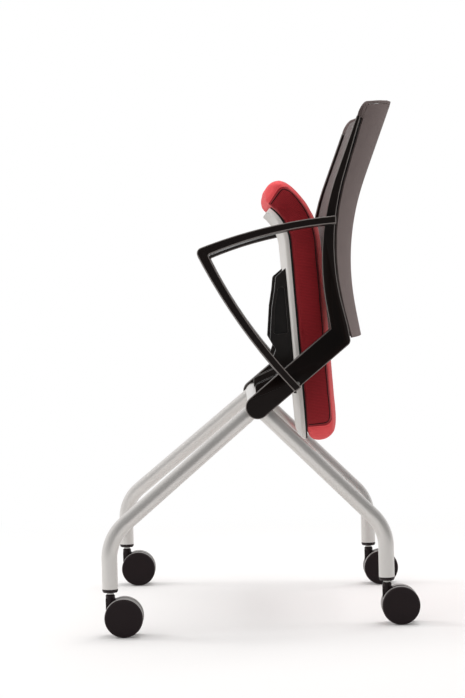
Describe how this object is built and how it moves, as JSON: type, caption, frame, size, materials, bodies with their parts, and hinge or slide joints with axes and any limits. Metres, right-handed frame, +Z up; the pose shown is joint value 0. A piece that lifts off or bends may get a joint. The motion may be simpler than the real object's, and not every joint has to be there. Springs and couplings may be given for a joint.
{
  "type": "nesting chair",
  "caption": "Nesting task chair on twin-wheel casters with open loop armrests, a curved backrest and a padded seat that flips up so the chairs push into each other.",
  "frame": {"origin": "on the floor under the cross tube, in the middle of the chair", "axes": "+Z up, the sitter faces -Y, +X towards the sitter's left"},
  "size_m": [0.65, 0.503, 0.846],
  "materials": {
    "tube_paint": "satin silver paint on steel tube",
    "frame_black": "fine-textured black",
    "back_fabric": "taupe knit over a moulded shell",
    "mesh_fabric": "grey mesh",
    "seat_fabric": "red woven upholstery",
    "board_black": "black-stained plywood edge",
    "pan_plastic": "light grey moulding",
    "steel": "bright zinc",
    "bushing_grey": "grey acetal",
    "wheel_black": "black nylon",
    "tyre_grey": "soft grey tread"
  },
  "bodies": {
    "frame": {"cross_tube": "tube_paint", "front_leg_left": "tube_paint", "front_leg_right": "tube_paint", "rear_leg_left": "tube_paint", "rear_leg_right": "tube_paint", "side_frame_left": "frame_black", "side_frame_right": "frame_black", "top_rail": "frame_black", "bottom_rail": "frame_black", "back_shell": "back_fabric", "back_mesh": "mesh_fabric", "arm_left": "frame_black", "arm_right": "frame_black", "arm_screws": "steel", "pivot_shaft": "steel", "hinge_bracket_left": "tube_paint", "hinge_bracket_right": "tube_paint", "leg_collar_front_left": "wheel_black", "leg_collar_front_right": "wheel_black", "leg_collar_rear_left": "wheel_black", "leg_collar_rear_right": "wheel_black", "stem_front_left": "steel", "stem_front_right": "steel", "stem_rear_left": "steel", "stem_rear_right": "steel"},
    "seat": {"seat_cushion": "seat_fabric", "seat_board": "board_black", "seat_pan": "pan_plastic", "seat_support_left": "frame_black", "seat_support_right": "frame_black", "seat_screws": "steel", "pivot_bushings": "bushing_grey"},
    "swivel_front_left": {"hood_front_left": "wheel_black", "axle_front_left": "steel"},
    "wheel_front_left_outer": {"wheel_front_left_outer": "wheel_black", "tyre_front_left_outer": "tyre_grey"},
    "wheel_front_left_inner": {"wheel_front_left_inner": "wheel_black", "tyre_front_left_inner": "tyre_grey"},
    "swivel_front_right": {"hood_front_right": "wheel_black", "axle_front_right": "steel"},
    "wheel_front_right_outer": {"wheel_front_right_outer": "wheel_black", "tyre_front_right_outer": "tyre_grey"},
    "wheel_front_right_inner": {"wheel_front_right_inner": "wheel_black", "tyre_front_right_inner": "tyre_grey"},
    "swivel_rear_left": {"hood_rear_left": "wheel_black", "axle_rear_left": "steel"},
    "wheel_rear_left_outer": {"wheel_rear_left_outer": "wheel_black", "tyre_rear_left_outer": "tyre_grey"},
    "wheel_rear_left_inner": {"wheel_rear_left_inner": "wheel_black", "tyre_rear_left_inner": "tyre_grey"},
    "swivel_rear_right": {"hood_rear_right": "wheel_black", "axle_rear_right": "steel"},
    "wheel_rear_right_outer": {"wheel_rear_right_outer": "wheel_black", "tyre_rear_right_outer": "tyre_grey"},
    "wheel_rear_right_inner": {"wheel_rear_right_inner": "wheel_black", "tyre_rear_right_inner": "tyre_grey"}
  },
  "joints": [
    {"name": "seat_flip", "type": "hinge", "parent": "frame", "child": "seat", "pos_m": [0, 0.05107, 0.3943], "axis": [1, 0, 0], "range_deg": [0, 82]},
    {"name": "swivel_front_left", "type": "hinge", "parent": "frame", "child": "swivel_front_left", "pos_m": [0.3025, -0.239, 0.0305], "axis": [0, 0, 1], "continuous": true},
    {"name": "roll_front_left_outer", "type": "hinge", "parent": "swivel_front_left", "child": "wheel_front_left_outer", "pos_m": [0.3025, -0.218, 0.0305], "axis": [1, 0, 0], "continuous": true},
    {"name": "roll_front_left_inner", "type": "hinge", "parent": "swivel_front_left", "child": "wheel_front_left_inner", "pos_m": [0.3025, -0.218, 0.0305], "axis": [1, 0, 0], "continuous": true},
    {"name": "swivel_front_right", "type": "hinge", "parent": "frame", "child": "swivel_front_right", "pos_m": [-0.3025, -0.239, 0.0305], "axis": [0, 0, 1], "continuous": true},
    {"name": "roll_front_right_outer", "type": "hinge", "parent": "swivel_front_right", "child": "wheel_front_right_outer", "pos_m": [-0.3025, -0.218, 0.0305], "axis": [1, 0, 0], "continuous": true},
    {"name": "roll_front_right_inner", "type": "hinge", "parent": "swivel_front_right", "child": "wheel_front_right_inner", "pos_m": [-0.3025, -0.218, 0.0305], "axis": [1, 0, 0], "continuous": true},
    {"name": "swivel_rear_left", "type": "hinge", "parent": "frame", "child": "swivel_rear_left", "pos_m": [0.239, 0.2, 0.0305], "axis": [0, 0, 1], "continuous": true},
    {"name": "roll_rear_left_outer", "type": "hinge", "parent": "swivel_rear_left", "child": "wheel_rear_left_outer", "pos_m": [0.239, 0.221, 0.0305], "axis": [1, 0, 0], "continuous": true},
    {"name": "roll_rear_left_inner", "type": "hinge", "parent": "swivel_rear_left", "child": "wheel_rear_left_inner", "pos_m": [0.239, 0.221, 0.0305], "axis": [1, 0, 0], "continuous": true},
    {"name": "swivel_rear_right", "type": "hinge", "parent": "frame", "child": "swivel_rear_right", "pos_m": [-0.239, 0.2, 0.0305], "axis": [0, 0, 1], "continuous": true},
    {"name": "roll_rear_right_outer", "type": "hinge", "parent": "swivel_rear_right", "child": "wheel_rear_right_outer", "pos_m": [-0.239, 0.221, 0.0305], "axis": [1, 0, 0], "continuous": true},
    {"name": "roll_rear_right_inner", "type": "hinge", "parent": "swivel_rear_right", "child": "wheel_rear_right_inner", "pos_m": [-0.239, 0.221, 0.0305], "axis": [1, 0, 0], "continuous": true}
  ]
}
